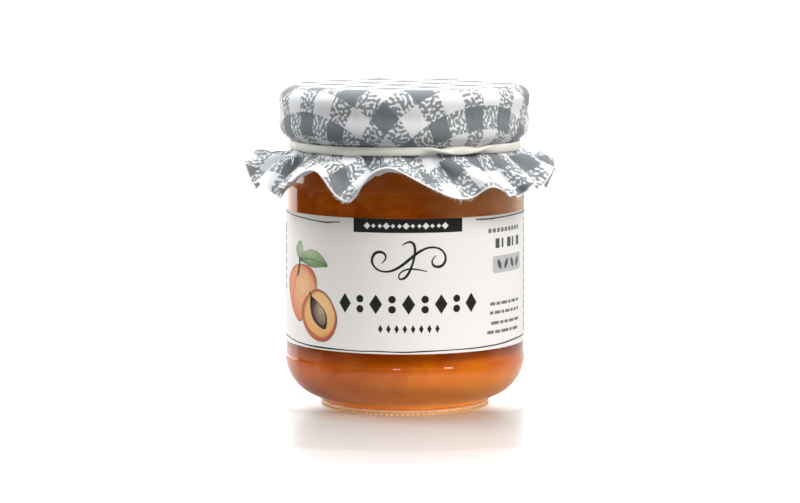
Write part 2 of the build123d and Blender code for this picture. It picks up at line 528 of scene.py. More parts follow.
# the stippled foot ring takes the painted golden tone
glass_tone = blend(tree, stippled, flint, painted_golden_ring_tone)
roughness = steps(tree, stippled, 0.0, 1.0, 0.0, stippled_roughness)
clearness = steps(tree, stippled, 0.0, 1.0, 1.0, stippled_clearness)
tree.links.new(glass_tone, shader.inputs["Base Color"])
tree.links.new(roughness, shader.inputs["Roughness"])
tree.links.new(clearness, shader.inputs["Transmission Weight"])
slow = add_node(tree, "Mapping", Vector=place)
slow.inputs["Scale"].default_value = (1, 1, 0.4)
waves = noise(tree, slow.outputs[0], 70, 1.0, 0.4)
bumps(tree, shader, waves, 0.5 * mm, 0.35)
path = add_node(tree, "LightPath")
clear = add_node(tree, "BsdfTransparent", Color=(0.97, 0.975, 0.97, 1))
through = add_node(tree, "MixShader")
tree.links.new(path.outputs["Is Shadow Ray"], through.inputs[0])
tree.links.new(shader.outputs[0], through.inputs[1])
tree.links.new(clear.outputs[0], through.inputs[2])
tree.links.new(through.outputs[0], tree.nodes["Material Output"].inputs[0])
glass.data.materials.append(material)
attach(glass, "root")
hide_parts("glass_jar")
print("glass rides on root")

# %% [markdown]
# The jam fills the glass.  If it stopped exactly at the wall, a film of air would show, so
# the jam's outline is the jar's inside moved a fifth of a millimetre into the glass.

# %% Jam
into_glass = 0.2 * mm
jam_outline = inside(into_glass) + [
    (inner_neck_radius + into_glass, jam_level, 1.2 * mm),
    (0, jam_level - 0.4 * mm, 0),
]
jam = half_outline("apricot_jam", jam_outline)
spin_round(jam, 160)

# %% [markdown]
# Jam is a clear gel with soft shreds of fruit in it.  Light enters it, turns orange and comes
# out elsewhere, which subsurface scattering gives.  Two sizes of noise mark the fruit:
# large pale clouds, and small threads.  Painted shade deepens the colour a little with height,
# under the cloth, and most at the low left, away from the main light.  Painted light makes it
# paler on the right, both at the heel and above the middle, and under the shoulder, where
# light gets in.

# %% Jam material
material, tree, shader = new_material("apricot_jam")
place = add_node(tree, "TexCoord").outputs["Object"]
stretched = add_node(tree, "Mapping", Vector=place)
stretched.inputs["Scale"].default_value = (1, 1, 1.6)
clouds = noise(tree, stretched.outputs[0], 95, 3.0, 0.55, 0.6)
shreds = noise(tree, stretched.outputs[0], 260, 4.0, 0.6, 1.2)
height = add_node(tree, "SeparateXYZ", Vector=place).outputs["Z"]
# painted shade: both jam colours get darker with height, under the cloth
rise = steps(tree, height, 0.010, 0.062)
deep = blend(tree, rise, (0.53, 0.108, 0.002, 1), (0.45, 0.092, 0.004, 1))
pale = blend(tree, rise, (0.64, 0.165, 0.003, 1), (0.62, 0.160, 0.006, 1))
side = add_node(tree, "SeparateXYZ", Vector=place).outputs["X"]
fruit = steps(tree, clouds, 0.42, 0.66)
body = blend(tree, fruit, deep, pale)
# painted shade: the jam is darker at the low left, away from the main light
below_middle = steps(tree, height, 0.035, 0.052, 1.0, 0.0)
painted_shade_left_low = sums(tree, "MULTIPLY", below_middle, steps(tree, side, -0.026, 0.002, 0.5, 0.0))
body = blend(tree, painted_shade_left_low, body, (0.30, 0.045, 0.001, 1))
threads = steps(tree, shreds, 0.56, 0.72, 0.0, 0.4)
body = blend(tree, threads, body, (0.62, 0.13, 0.005, 1))
# painted light: the jam is paler on the right above the middle, towards the main lamp
above_middle = steps(tree, height, 0.035, 0.052)
painted_light_right_high = sums(tree, "MULTIPLY", above_middle, steps(tree, side, 0.004, 0.031))
body = blend(tree, painted_light_right_high, body, (1.0, 0.50, 0.22, 1))
# painted light: the jam is paler under the shoulder
painted_light_under_shoulder = steps(tree, height, 0.056, 0.066, 0.0, 0.5)
body = blend(tree, painted_light_under_shoulder, body, (0.85, 0.26, 0.03, 1))
# painted light: the jam is paler and more orange at the heel on the right, where lamp light shows
# through
at_heel = steps(tree, height, 0.004, 0.013, 1.0, 0.0)
painted_light_right_low = sums(tree, "MULTIPLY", at_heel, steps(tree, side, -0.018, 0.020))
body = blend(tree, painted_light_right_low, body, (0.98, 0.37, 0.03, 1))
tree.links.new(body, shader.inputs["Base Color"])
shader.inputs["Subsurface Weight"].default_value = 0.5
shader.inputs["Subsurface Radius"].default_value = (1.0, 0.35, 0.08)
shader.inputs["Subsurface Scale"].default_value = 2.5 * mm
shader.inputs["Roughness"].default_value = 0.4
shader.inputs["IOR"].default_value = 1.42
shader.inputs["Specular IOR Level"].default_value = 0.0
bumps(tree, shader, shreds, 0.3 * mm, 0.3)
jam.data.materials.append(material)
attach(jam, "root")
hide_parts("jam")
print("jam up to", round(jam_level / mm, 1), "mm")

# %% [markdown]
# The lid is a pressed steel cap whose rim is curled under.  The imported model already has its
# true shape, and the cloth hides nearly all of it, so it keeps that shape and only gets its
# lacquer: pale gold, a little uneven, as sprayed tinplate is.

# %% Lid lacquer
material, tree, shader = new_material("gold_lacquered_steel")
place = add_node(tree, "TexCoord").outputs["Object"]
spray = noise(tree, place, 900, 3.0, 0.6)
cloudy = noise(tree, place, 60, 2.0, 0.5)
lacquer = blend(tree, cloudy, (0.62, 0.42, 0.16, 1), (0.72, 0.52, 0.24, 1))
tree.links.new(lacquer, shader.inputs["Base Color"])
shader.inputs["Metallic"].default_value = 0.9
tree.links.new(steps(tree, spray, 0.3, 0.7, 0.28, 0.4), shader.inputs["Roughness"])
shader.inputs["Coat Weight"].default_value = 0.3
bumps(tree, shader, spray, 0.05 * mm, 0.3)
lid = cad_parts["lid"]
while len(lid.material_slots) < 1:
    only(lid)
    bpy.ops.object.material_slot_add()
for place_in_list in lid.material_slots:
    place_in_list.material = material
print("lid lacquered")

# %% [markdown]
# The label is printed paper.  It is drawn lying flat, as a printer has it: x along the label,
# z up, and the printed side facing -Y.  Inks are thin shapes just above the paper.  At the
# end everything is joined, cut into narrow strips, and wrapped round the jar by one bend.

# %% Label paper
label_inner = panel_radius
paper_thick = 0.12 * mm
label_gap = 9.0 * mm
label_width = 2 * math.pi * label_inner - label_gap
label_height = label_top - label_bottom
label_middle = (label_top + label_bottom) / 2
strip_width = 1.0 * mm
ink_lift = 0.012 * mm

bpy.ops.object.select_all(action="DESELECT")
bpy.ops.mesh.primitive_grid_add(x_subdivisions=8, y_subdivisions=6, size=1,
                                rotation=(math.pi / 2, 0, 0))
paper = new_name(bpy.context.object, "label_paper")
bpy.ops.object.transform_apply(location=True, rotation=True, scale=True)
bpy.ops.object.mode_set(mode="EDIT")
bpy.ops.mesh.select_all(action="SELECT")
bpy.ops.transform.resize(value=(label_width, 1, label_height))
bpy.ops.transform.translate(value=(0, 0, label_middle))
bpy.ops.mesh.extrude_region_move(TRANSFORM_OT_translate={"value": (0, -paper_thick, 0)})
bpy.ops.mesh.select_all(action="SELECT")
bpy.ops.mesh.normals_make_consistent(inside=False)
object_mode()
print(f"paper {label_width / mm:.1f} x {label_height / mm:.1f} mm")

# %% [markdown]
# Inks and paper.  Offset print isn't one flat colour: the paper has fibres, and the drawing
# of the fruit has soft shades.  The shades follow the flat label's own coordinates, which
# are kept in a UV map in centimetres.

# %% Inks


def flat_place(tree, turn=0.0, centre=(0, 0), size=(1, 1)):
    """Flat label coordinates in centimetres, centred, turned and scaled for one drawing."""
    flat = add_node(tree, "UVMap", {"uv_map": "flat"}).outputs["UV"]
    made = add_node(tree, "Mapping", {"vector_type": "TEXTURE"}, Vector=flat)
    made.inputs["Location"].default_value = (centre[0], centre[1], 0)
    made.inputs["Rotation"].default_value = (0, 0, math.radians(turn))
    made.inputs["Scale"].default_value = (size[0], size[1], 1)
    return made.outputs[0]


def ink(name, tone, fleck=0.06, roughness=0.55):
    """A printed colour with the paper's fibres showing a little, and faint relief."""
    material, tree, shader = new_material(name)
    flat = flat_place(tree)
    fibres = noise(tree, flat, 30, 4.0, 0.65)
    lighter = tuple(min(1.0, part * (1 + fleck) + 0.01) for part in tone[:3]) + (1,)
    darker = tuple(part * (1 - fleck) for part in tone[:3]) + (1,)
    tree.links.new(blend(tree, fibres, darker, lighter), shader.inputs["Base Color"])
    shader.inputs["Roughness"].default_value = roughness
    bumps(tree, shader, fibres, 0.03 * mm, 0.3)
    return material


def fruit_ink(name, centre, size, turn, inner, outer, edge, light_side=(0.35, 0.3)):
    """Shaded ink for a round drawn thing: light on one side, darker to its edge, grainy."""
    material, tree, shader = new_material(name)
    place = flat_place(tree, turn, centre, size)
    moved = add_node(tree, "VectorMath", {"operation": "SUBTRACT"})
    connect(tree, place, moved.inputs[0])
    moved.inputs[1].default_value = (light_side[0], light_side[1], 0)
    reach = add_node(tree, "VectorMath", {"operation": "LENGTH"})
    connect(tree, moved.outputs[0], reach.inputs[0])
    rim = add_node(tree, "VectorMath", {"operation": "LENGTH"})
    connect(tree, place, rim.inputs[0])
    grain = sums(tree, "SUBTRACT", noise(tree, place, 5, 5.0, 0.75), 0.5)
    wobble = sums(tree, "ADD", reach.outputs["Value"], grain)
    shade = blend(tree, steps(tree, wobble, 0.15, 1.25), inner, outer)
    border = steps(tree, rim.outputs["Value"], 0.82, 1.0)
    tree.links.new(blend(tree, border, shade, edge), shader.inputs["Base Color"])
    shader.inputs["Roughness"].default_value = 0.55
    return material


paper_white = ink("label_paper_white", colour(245, 242, 239), 0.012)
black_ink = ink("black_ink", (0.012, 0.012, 0.011, 1), 0.3, 0.4)
dark_ink = ink("dark_grey_ink", colour(84, 84, 86), 0.1)
grey_ink = ink("grey_ink", colour(120, 120, 122), 0.1)
pale_grey_ink = ink("pale_grey_ink", colour(196, 196, 198), 0.05)
skin_ink = fruit_ink("apricot_skin_ink", (-3.4, 3.25), (0.85, 0.82), 8,
                     colour(248, 196, 146), colour(226, 130, 90), colour(203, 104, 72), (0.3, 0.2))
blush_ink = ink("apricot_blush_ink", colour(206, 112, 82), 0.1)
half_skin_ink = fruit_ink("apricot_rim_ink", (-2.6, 2.7), (0.72, 0.72), 20,
                          colour(232, 150, 104), colour(208, 112, 80), colour(176, 92, 72))
flesh_ink = fruit_ink("apricot_flesh_ink", (-2.55, 2.75), (0.66, 0.66), 20,
                      colour(250, 208, 152), colour(243, 184, 120), colour(232, 156, 92))
hollow_ink = fruit_ink("stone_hollow_ink", (-2.55, 2.75), (0.3, 0.45), 12,
                       colour(92, 74, 60), colour(70, 58, 48), colour(48, 42, 38))
stone_ink = fruit_ink("stone_ink", (-2.5, 2.75), (0.26, 0.36), 12,
                      colour(196, 170, 148), colour(112, 92, 80), colour(84, 70, 62), (0.3, 0.2))
leaf_ink = fruit_ink("leaf_ink", (-2.8, 4.25), (0.6, 0.27), -8,
                     colour(186, 206, 160), colour(128, 158, 112), colour(98, 128, 90), (-0.2, 0.45))
small_leaf_ink = fruit_ink("small_leaf_ink", (-3.41, 4.4), (0.2, 0.27), 0,
                           colour(196, 212, 178), colour(146, 172, 132), colour(120, 146, 110),
                           (0.2, 0.2))
leaf_shade_ink = ink("leaf_shade_ink", colour(84, 116, 80), 0.1)
all_inks = [paper_white, black_ink, dark_ink, grey_ink, pale_grey_ink, skin_ink, half_skin_ink,
            flesh_ink,
            hollow_ink, stone_ink, leaf_ink, blush_ink, small_leaf_ink, leaf_shade_ink]
print(len(all_inks), "inks")
paper.data.materials.append(paper_white)
print_parts = [paper]

# %% [markdown]
# Print shapes come from four small tools: a patch (a rectangle or any row of corners), a disc,
# a stroke drawn like a pen line, and a leaf shape with two points.  Each returns a thin mesh
# that lies in the plane of the paper, on its own layer so that inks never share a plane.

# %% Print tools


def lay_down(item, layer, material):
    """Put a flat print shape on its layer above the paper and give it its ink."""
    only(item)
    bpy.ops.object.transform_apply(location=True, rotation=True, scale=True)
    bpy.ops.object.mode_set(mode="EDIT")
    bpy.ops.mesh.select_all(action="SELECT")
    bpy.ops.transform.translate(value=(0, -paper_thick - layer * ink_lift, 0))
    object_mode()
    item.data.materials.clear()
    item.data.materials.append(material)
    print_parts.append(item)
    return item


def disc(name, x, z, half_wide, half_high, material, layer=1, turn=0.0, corners=24):
    """A filled ellipse, in millimetres on the flat label."""
    bpy.ops.object.select_all(action="DESELECT")
    bpy.ops.mesh.primitive_circle_add(vertices=corners, radius=mm, fill_type="NGON",
                                      location=(x * mm, 0, z * mm),
                                      rotation=(math.pi / 2, math.radians(-turn), 0),
                                      scale=(half_wide, half_high, 1))
    return lay_down(new_name(bpy.context.object, name), layer, material)


def patch(name, corners, material, layer=1, rounding=0.0):
    """A filled shape from a row of corners in millimetres, with rounded corners if wanted."""
    bpy.ops.object.select_all(action="DESELECT")
    bpy.ops.mesh.primitive_circle_add(vertices=len(corners), radius=mm, fill_type="NGON",
                                      rotation=(math.pi / 2, 0, 0))
    item = new_name(bpy.context.object, name)
    bpy.ops.object.transform_apply(location=True, rotation=True, scale=True)
    for corner, (x, z) in zip(item.data.vertices, corners):
        corner.co = (x * mm, 0, z * mm)
    if rounding:
        bpy.ops.object.mode_set(mode="EDIT")
        bpy.ops.mesh.select_all(action="SELECT")
        bpy.ops.mesh.bevel(offset=rounding * mm, segments=5, affect="VERTICES")
        object_mode()
    return lay_down(item, layer, material)


def bar(name, x0, x1, z0, z1, material, layer=1, rounding=0.0):
    """A rectangle of print."""
    return patch(name, [(x0, z0), (x1, z0), (x1, z1), (x0, z1)], material, layer, rounding)


def stroke(name, points, width, material, layer=1, smooth=True):
    """A pen line through points (x, z, share of the width), all in millimetres."""
    bpy.ops.object.select_all(action="DESELECT")
    bpy.ops.curve.primitive_bezier_curve_add()
    item = new_name(bpy.context.object, name)
    drawn = item.data
    drawn.splines.clear()
    line = drawn.splines.new("NURBS" if smooth else "POLY")
    line.points.add(len(points) - 1)
    for point, (x, z, share) in zip(line.points, points):
        point.co = (x * mm, 0, z * mm, 1)
        point.radius = share
    if smooth:
        line.order_u = 3
        line.use_endpoint_u = True
        line.resolution_u = 6
    drawn.dimensions = "3D"
    drawn.bevel_depth = width * mm / 2
    drawn.bevel_resolution = 0
    drawn.use_fill_caps = True
    only(item)
    bpy.ops.object.convert(target="MESH")
    item = bpy.context.object
    bpy.ops.object.mode_set(mode="EDIT")
    bpy.ops.mesh.select_all(action="SELECT")
    bpy.ops.transform.resize(value=(1, 0.01, 1))
    object_mode()
    return lay_down(item, layer, material)


def leaf(name, x, z, length, width, turn, material, layer=1, bend=0.0, count=9):
    """A leaf with two pointed ends, turned by degrees from the x direction."""
    upper, lower = [], []
    for step in range(count + 1):
        along = step / count
        swell = math.sin(math.pi * along) ** 0.85 * width / 2
        middle = bend * math.sin(math.pi * along)
        upper.append((along * length - length / 2, middle + swell))
        lower.append((along * length - length / 2, middle - swell))
    outline = lower + upper[-2:0:-1]
    cos_t, sin_t = math.cos(math.radians(turn)), math.sin(math.radians(turn))
    turned = [(x + a * cos_t - b * sin_t, z + a * sin_t + b * cos_t) for a, b in outline]
    return patch(name, turned, material, layer)


print("print tools ready")

# %% [markdown]
# The layout: a black bar hangs from the top edge, a pen flourish stands where a maker would
# sign, a bold row of diamonds and dots stands in the title's place with small diamonds below
# it, and thin lines run along the top and bottom edges.  Small print is plain grey bars.

# %% Bar, flourish and title place
high_edge = label_top / mm
bar("print_top_bar", -14.0, 15.6, 50.3, high_edge, black_ink)
for step in range(13):
    x = -10.2 + 20.9 * step / 12
    size = 0.95 if step % 3 == 0 else 0.62
    patch(f"print_bar_mark_{step}",
          [(x - size, 52.1), (x, 52.1 - size), (x + size, 52.1), (x, 52.1 + size)],
          paper_white, 3)

scroll = [(0.0, 0.0, 1.2), (2.4, 2.0, 1.1), (5.4, 3.4, 0.8), (8.6, 2.9, 0.7), (10.2, 0.4, 0.9),
          (9.0, -2.0, 1.2), (6.6, -2.0, 1.0), (5.8, -0.2, 0.6), (7.2, 1.0, 0.4)]
sweep = [(-x, -z, share) for x, z, share in scroll[:0:-1]] + scroll
stroke("print_scroll", [(x + 1.0, z + 43.2, share) for x, z, share in sweep], 0.66, black_ink, 1)
loop = [(-2.4, 3.6, 0.4), (-0.6, 5.0, 0.9), (1.2, 3.6, 1.2), (0.6, -1.0, 0.9), (-1.2, -5.0, 1.2),
        (-3.4, -5.6, 0.7), (-3.2, -3.6, 0.6), (0.0, -2.2, 0.8), (4.2, -3.4, 0.4)]
stroke("print_loop", [(x + 1.6, z + 43.4, share) for x, z, share in loop], 0.6, black_ink, 2)

for step in range(9):
    x = -16.6 + 35.0 * step / 8
    if step % 2 == 0:
        patch(f"print_title_{step}", [(x - 1.75, 31.25), (x, 28.6), (x + 1.75, 31.25), (x, 33.9)],
              black_ink, 1)
    else:
        for up in (-1.35, 1.35):
            disc(f"print_title_{step}_{up}", x, 31.25 + up, 0.95, 0.95, black_ink, 1)
for step in range(8):
    x = -6.6 + 15.2 * step / 7
    patch(f"print_subtitle_{step}", [(x - 0.6, 24.7), (x, 23.55), (x + 0.6, 24.7), (x, 25.85)],
          black_ink, 1)
print("bar, flourish and title place done")

# %% [markdown]
# Small print on the right: two lines of grey marks, a grey badge with leaf shapes, and a
# block of small text as grey bars of uneven length.  At each end of the label's front, text
# runs upwards in narrow columns.

# %% Small print
for step in range(9):
    bar(f"print_line_one_{step}", 24.2 + step * 1.7, 25.4 + step * 1.7, 49.35, 50.5, grey_ink, 1, 0.2)
for step, wide in enumerate((1.7, 0.8, 1.9, 0.9, 1.8)):
    bar(f"print_line_two_{step}", 27.0 + step * 2.6, 27.0 + wide + step * 2.6, 45.1, 47.7, dark_ink,
        1, 0.3)
bar("print_badge", 26.0, 40.5, 38.4, 43.0, pale_grey_ink, 1, 0.7)
for step in range(4):
    leaf(f"print_badge_mark_{step}", 28.7 + step * 3.1, 40.7, 3.3, 1.5, 62 if step % 2 else -62,
         dark_ink, 2, count=6)
for row, (x0, z) in enumerate([(25.0, 30.2), (24.9, 27.8), (25.4, 25.0), (23.9, 22.6)]):
    x = x0
    while x < 38.6:
        word = random.uniform(1.2, 3.6)
        end = min(x + word, 39.3)
        bar(f"print_small_{row}_{int(x * 10)}", x, end, z - 0.42, z + 0.42, grey_ink, 1, 0.2)
        x = end + 0.5
for side, x, z0, z1 in [("left", -45.7, 32.4, 50.4), ("right", 46.2, 20.5, 51.7),
                        ("left_far", -48.2, 30.0, 50.4), ("right_far", 48.8, 21.8, 51.4),
                        ("left_next", -50.7, 31.0, 50.4), ("right_next", 51.3, 24.0, 51.4)]:
    z = z0
    while z < z1:
        word = random.uniform(1.2, 3.6)
        end = min(z + word, z1)
        bar(f"print_column_{side}_{int(z * 10)}", x - 0.6, x + 0.6, z, end, dark_ink, 1)
        z = end + 0.6
print(len(print_parts), "print shapes so far")

# %% [markdown]
# The pen lines along the edges were drawn by hand, so they waver, and are a little thicker in
# places.  They stop near the black bar, and run the whole length at the bottom.

# %% Edge lines


def pen_line(name, x0, x1, z0, z1, waver, width):
    """A long wavering pen line from end to end."""
    count = max(6, int(abs(x1 - x0) / 2.6))
    points = []
    for step in range(count + 1):
        along = step / count
        x = x0 + (x1 - x0) * along
        z = z0 + (z1 - z0) * along + waver * (math.sin(x * 0.41 + z0) + 0.6 * math.sin(x * 0.93 + 1.3))
        points.append((x, z, random.uniform(0.65, 1.25)))
    points[0] = (*points[0][:2], 0.5)
    points[-1] = (*points[-1][:2], 0.5)
    stroke(name, points, width, black_ink, 1)


half_label = label_width / 2 / mm - 1.5
front_lines = {
    "print_line_top_left": [(-50, 53.5), (-46, 53.5), (-41.5, 53.4), (-36.4, 53.0), (-32, 52.9),
                            (-28.3, 52.6), (-25.7, 52.5), (-22.7, 52.3), (-20.6, 52.6),
                            (-18.2, 52.7)],
    "print_line_top_right": [(19.9, 53.3), (23.9, 53.1), (29, 53.3), (34.5, 53.4), (40, 53.5),
                             (50, 53.5)],
    "print_line_bottom": [(-50, 19.8), (-45.3, 19.6), (-40.5, 19.3), (-35.7, 18.9),
                          (-32.2, 18.75), (-28.5, 18.6), (-22.3, 18.6), (-16.1, 18.6),
                          (-11.4, 18.55), (-7.9, 18.75), (-3.6, 18.6), (0.6, 18.55), (4.9, 18.75),
                          (9.2, 18.8), (13.7, 18.9), (18.6, 18.85), (24, 19.0), (29.2, 19.1),
                          (34.8, 19.5), (40.7, 19.7), (50, 19.8)],
}
for name, places in front_lines.items():
    widths = [random.uniform(0.7, 1.3) for _ in places]
    stroke(name, [(x, z, wide) for (x, z), wide in zip(places, widths)], 0.36, black_ink, 1)
pen_line("print_line_top_left_back", -half_label, -50.0, 53.3, 53.5, 0.05, 0.34)
pen_line("print_line_top_right_back", 50.0, half_label, 53.5, 53.3, 0.05, 0.34)
pen_line("print_line_bottom_left_back", -half_label, -50.0, 19.2, 19.8, 0.08, 0.34)
pen_line("print_line_bottom_right_back", 50.0, half_label, 19.8, 19.2, 0.08, 0.34)
print("edge lines done")

# %% [markdown]
# The fruit drawing: a whole apricot with a stalk and two leaves, and in front of it a halved
# one that shows its flesh and the stone in its hollow.  Dark pencil outlines are a slightly
# larger copy of each shape, one layer below.

# %% Fruit drawing


def drawn(name, places, material, layer, grow=0.0):
    """A smooth closed shape through a few places, moved out from its middle by grow."""
    middle_x = sum(x for x, _ in places) / len(places)
    middle_z = sum(z for _, z in places) / len(places)
    corners = []
    for step in range(len(places)):
        before, here, after, beyond = (places[(step + k) % len(places)] for k in (-1, 0, 1, 2))
        for part in (0.0, 0.25, 0.5, 0.75):
            pair = []
            for p0, p1, p2, p3 in zip(before, here, after, beyond):
                pair.append(0.5 * (2 * p1 + (p2 - p0) * part + (2 * p0 - 5 * p1 + 4 * p2 - p3) * part**2
                                   + (3 * p1 - p0 - 3 * p2 + p3) * part**3))
            away = math.hypot(pair[0] - middle_x, pair[1] - middle_z)
            out_x, out_z = (pair[0] - middle_x) / away, (pair[1] - middle_z) / away
            corners.append((pair[0] + out_x * grow, pair[1] + out_z * grow))
    return patch(name, corners[::-1], material, layer)


line = 0.11
whole = [(-32.0, 40.3), (-34.4, 40.0), (-37.0, 39.4), (-39.9, 37.5), (-41.6, 34.6), (-40.9, 31.2),
         (-38.7, 27.8), (-36.0, 25.4), (-33.8, 24.8), (-31.0, 26.4), (-28.3, 29.6), (-26.6, 33.4),
         (-26.4, 36.6), (-28.4, 39.4)]
drawn("print_whole_outline", whole, dark_ink, 1, line)
drawn("print_whole", whole, skin_ink, 2)
stroke("print_whole_crease",
       [(-35.2, 38.2, 0.9), (-36.8, 35.4, 1.0), (-38.0, 32.9, 0.9), (-38.6, 29.6, 0.6),
        (-37.6, 27.2, 0.3)], 0.4, blush_ink, 3)
large_leaf = [(-33.8, 41.3), (-32.9, 43.0), (-30.8, 44.0), (-28.3, 44.5), (-26.0, 44.1),
              (-24.0, 42.9), (-22.3, 40.7), (-24.4, 40.3), (-27.0, 40.0), (-29.4, 40.2),
              (-32.0, 40.9)]
drawn("print_leaf_large_outline", large_leaf, dark_ink, 3, line)
drawn("print_leaf_large", large_leaf, leaf_ink, 4)
stroke("print_leaf_large_rib",
       [(-33.7, 41.4, 0.9), (-30.5, 42.3, 0.9), (-26.5, 41.9, 0.7), (-22.8, 40.8, 0.3)], 0.22,
       dark_ink, 5)
for step, (x, z, up) in enumerate([(-31.2, 42.2, 1.3), (-28.8, 42.3, 1.6), (-26.6, 41.9, 1.5)]):
    stroke(f"print_leaf_vein_{step}",
           [(x, z, 0.8), (x + 0.9, z + up * 0.6, 0.6), (x + 1.2, z + up, 0.3)], 0.14,
           leaf_shade_ink, 5)
    stroke(f"print_leaf_vein_low_{step}",
           [(x, z, 0.8), (x + 1.2, z - 0.8, 0.6), (x + 2.0, z - 1.2, 0.3)], 0.14,
           leaf_shade_ink, 5)
small_leaf = [(-34.2, 41.7), (-35.8, 43.5), (-35.6, 45.1), (-33.6, 46.5), (-32.5, 44.8),
              (-32.6, 43.2)]
drawn("print_leaf_small_outline", small_leaf, dark_ink, 3, line)
drawn("print_leaf_small", small_leaf, small_leaf_ink, 4)
stroke("print_leaf_small_rib", [(-34.1, 41.9, 0.9), (-34.3, 44.0, 0.8), (-33.8, 45.8, 0.3)], 0.2,
       leaf_shade_ink, 5)
stroke("print_stalk",
       [(-33.9, 42.0, 0.7), (-34.1, 40.3, 0.9), (-34.5, 38.5, 1.3), (-35.2, 36.9, 0.6)], 0.75,
       hollow_ink, 6)
half_fruit = [(-26.0, 34.1), (-29.1, 32.8), (-31.7, 30.4), (-32.8, 27.4), (-31.7, 24.0),
              (-28.8, 21.4), (-25.5, 20.3), (-22.3, 20.8), (-19.9, 23.5), (-19.2, 27.0),
              (-20.4, 30.3), (-22.8, 33.1)]
flesh = [(-26.0, 33.6), (-28.5, 32.1), (-30.7, 29.6), (-31.6, 26.8), (-30.2, 24.0), (-27.2, 22.1),
         (-23.6, 21.4), (-20.8, 23.6), (-19.8, 27.0), (-20.9, 30.2), (-23.1, 32.8)]
drawn("print_half_outline", half_fruit, dark_ink, 6, line)
drawn("print_half_rim", half_fruit, half_skin_ink, 7)
drawn("print_half_flesh", flesh, flesh_ink, 8)
hollow = [(-28.7, 32.0), (-26.2, 31.0), (-23.4, 28.9), (-22.4, 26.5), (-23.0, 23.7),
          (-25.4, 24.2), (-27.8, 26.1), (-28.8, 28.8)]
stone = [(-27.6, 30.9), (-25.6, 30.4), (-23.5, 28.6), (-22.9, 26.6), (-23.4, 24.7), (-25.2, 25.1),
         (-26.9, 26.8), (-27.8, 28.8)]
drawn("print_hollow", hollow, hollow_ink, 9)
drawn("print_stone", stone, stone_ink, 10)
stroke("print_stone_stalk", [(-29.2, 33.2, 0.7), (-28.4, 32.6, 1.0), (-28.0, 31.4, 0.8)], 0.5,
       hollow_ink, 11)
for step, (x, z) in enumerate([(-26.8, 28.6), (-25.4, 27.2), (-24.4, 28.0), (-24.6, 25.9)]):
    stroke(f"print_stone_groove_{step}",
           [(x, z, 0.4), (x + 0.5, z - 0.7, 1.0), (x + 0.7, z - 1.6, 0.3)], 0.2,
           hollow_ink, 11)
print(len(print_parts), "print shapes")

# %% [markdown]
# Wrapping the label.  All shapes are joined to the paper, their flat place is kept as a UV
# map, and the sheet is cut into one-millimetre strips so that it can bend smoothly.  A bend
# then rolls it round the upright axis, and a shift puts it on the jar's panel.

# %% Wrap the label
only(*print_parts)
bpy.ops.object.join()
label = new_name(bpy.context.object, "label_wrapped")
bpy.ops.object.mode_set(mode="EDIT")
cuts = int(label_width / strip_width)
for step in range(1, cuts):
    bpy.ops.mesh.select_all(action="SELECT")
    bpy.ops.mesh.bisect(plane_co=(-label_width / 2 + label_width * step / cuts, 0, 0),
                        plane_no=(1, 0, 0))
object_mode()
flat_map = label.data.uv_layers.new(name="flat")
corner_index = np.empty(len(label.data.loops), dtype=np.int32)
label.data.loops.foreach_get("vertex_index", corner_index)
flat_co = np.empty(len(label.data.vertices) * 3)
label.data.vertices.foreach_get("co", flat_co)
flat_co = flat_co.reshape(-1, 3)[corner_index]
flat_map.data.foreach_set("uv", (flat_co[:, [0, 2]] * 100).ravel())
label_x = [corner.co.x for corner in label.data.vertices]
extent = max(label_x) - min(label_x)
bend = label.modifiers.new("wrap", "SIMPLE_DEFORM")
bend.deform_method = "BEND"
bend.deform_axis = "Z"
bend.angle = extent / label_inner
only(label)
bpy.ops.object.modifier_apply(modifier="wrap")
bpy.ops.object.mode_set(mode="EDIT")
bpy.ops.mesh.select_all(action="SELECT")
bpy.ops.transform.translate(value=(0, -label_inner, 0))
object_mode()
bpy.ops.object.shade_smooth_by_angle(angle=math.radians(30))
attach(label, "root")
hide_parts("label")
low = [min(corner.co[axis] for corner in label.data.vertices) / mm for axis in range(3)]
high = [max(corner.co[axis] for corner in label.data.vertices) / mm for axis in range(3)]
print("label box", [round(v, 2) for v in low], [round(v, 2) for v in high])
print("label", len(label.data.polygons), "faces")

# %% [markdown]
# The rubber band is one flat loop of cream rubber.  It was stretched over the cloth by hand,
# so it turns over in two places at the front and stands on its edge there.  A closed line
# with a small rounded rectangle as its section does this: each point of the line has a tilt.

# %% Rubber band
band_width = band_top - band_bottom
band_thick = 1.0 * mm
band_height = (band_top + band_bottom) / 2
band_middle = band_outer - band_thick / 2
turn_overs = [(17.0, 13.0), (38.0, -13.0)]

bpy.ops.object.select_all(action="DESELECT")
bpy.ops.curve.primitive_bezier_circle_add()
section = new_name(bpy.context.object, "band_section")
section.data.splines.clear()
line = section.data.splines.new("POLY")
side, half = band_width / 2, band_thick / 2
cut = 0.28 * mm
corners = [(-side + cut, -half), (side - cut, -half), (side, -half + cut), (side, half - cut),
           (side - cut, half), (-side + cut, half), (-side, half - cut), (-side, -half + cut)]
line.points.add(len(corners) - 1)
for point, (x, y) in zip(line.points, corners):
    point.co = (x, y, 0, 1)
line.use_cyclic_u = True

